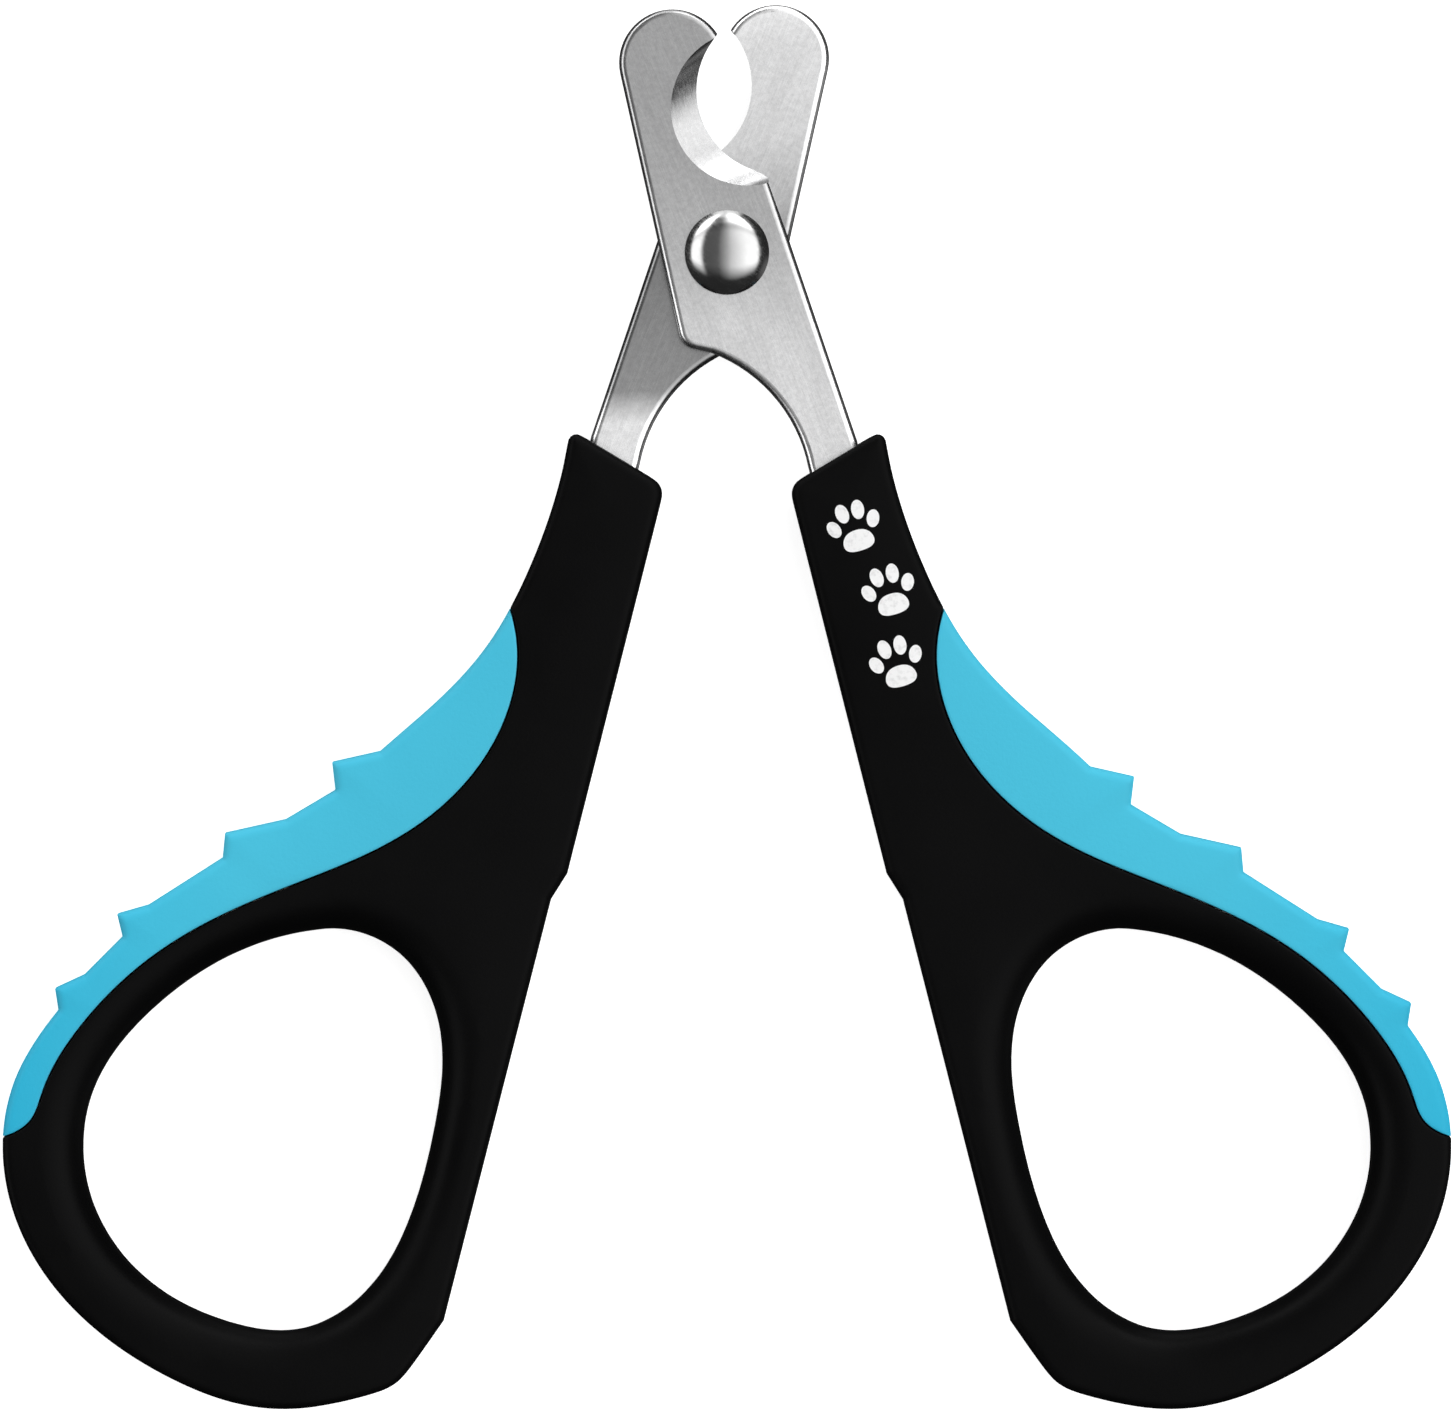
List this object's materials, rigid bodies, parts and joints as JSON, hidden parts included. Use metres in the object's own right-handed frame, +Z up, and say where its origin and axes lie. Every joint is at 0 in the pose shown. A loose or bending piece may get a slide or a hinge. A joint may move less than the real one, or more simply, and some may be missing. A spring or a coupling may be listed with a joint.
{
  "type": "pet nail scissors",
  "caption": "Riveted pet nail scissors with notched steel blades and soft-grip finger-loop handles, opening on a domed pivot rivet.",
  "frame": {"origin": "centre of the footprint, on the table plane that both handles lie on", "axes": "+Z up and the way the rivet's domed head faces, +Y towards the blade tips, +X towards the right handle"},
  "size_m": [0.1288, 0.125, 0.009],
  "materials": {
    "blade_steel": "brushed",
    "rivet_steel": "polished",
    "handle_plastic": "fine satin",
    "grip_rubber": "smooth soft-touch"
  },
  "bodies": {
    "left_half": {"rear_blade": "blade_steel", "pivot_rivet": "rivet_steel", "rivet_washer": "rivet_steel", "left_handle": "handle_plastic", "left_grip_pad": "grip_rubber"},
    "right_half": {"front_blade": "blade_steel", "right_handle": "handle_plastic", "right_grip_pad": "grip_rubber"}
  },
  "joints": [
    {"name": "blade_pivot", "type": "hinge", "parent": "left_half", "child": "right_half", "pos_m": [0, 0.04037, 0.0045], "axis": [0, 0, 1], "range_deg": [-28.5, 113]}
  ]
}
